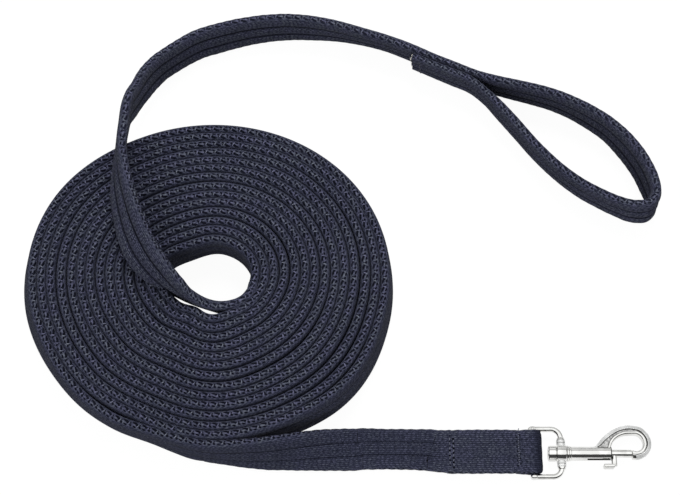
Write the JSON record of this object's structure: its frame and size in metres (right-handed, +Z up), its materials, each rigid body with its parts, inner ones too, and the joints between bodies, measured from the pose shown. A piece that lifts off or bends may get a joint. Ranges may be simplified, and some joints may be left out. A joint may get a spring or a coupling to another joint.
{
  "type": "lunge line",
  "caption": "Flat woven lunge line wound on edge in a round coil, with a swivel bolt snap sewn to its outer end and a sewn hand loop on its inner end, all lying on the floor.",
  "frame": {"origin": "middle of the coil, on the plane of its base, which is the floor", "axes": "+X from the coil towards the snap and the hand loop, +Y from the snap's side to the hand loop's side, +Z up, square to the coil"},
  "size_m": [0.3908, 0.3032, 0.0509],
  "materials": {
    "webbing": "matte navy woven webbing with plaited edges",
    "thread": "dark sewing thread",
    "core": "undyed core yarn at the cut end",
    "plated_metal": "nickel plated, bright",
    "spring_steel": "drawn wire"
  },
  "bodies": {
    "line": {"webbing_coil": "webbing", "lead_run": "webbing", "webbing_tail": "webbing", "hand_loop": "webbing", "hook_fold": "webbing", "fold_stitch_rear": "thread", "fold_stitch_front": "thread", "loop_stitch_rear": "thread", "loop_stitch_front": "thread", "loop_end_core": "core"},
    "eye": {"eye_wire": "plated_metal", "eye_hub": "plated_metal"},
    "snap": {"swivel_rivet": "plated_metal", "swivel_washer": "plated_metal", "snap_body": "plated_metal", "bolt_spring": "spring_steel"},
    "bolt": {"snap_bolt": "plated_metal", "thumb_stud": "plated_metal"}
  },
  "joints": [
    {"name": "eye_swing", "type": "hinge", "parent": "line", "child": "eye", "pos_m": [0.1945, -0.1014, 0.005], "axis": [0, -1, 0], "range_deg": [-105, 105]},
    {"name": "swivel_spin", "type": "hinge", "parent": "eye", "child": "snap", "pos_m": [0.2107, -0.1014, 0.005], "axis": [1, 0, 0], "continuous": true},
    {"name": "bolt_slide", "type": "slide", "parent": "snap", "child": "bolt", "axis": [-1, 0, 0], "range_m": [0, 0.011], "stiffness_N_per_m": 300, "springref_m": -0.004, "deforming": ["bolt_spring"]}
  ]
}
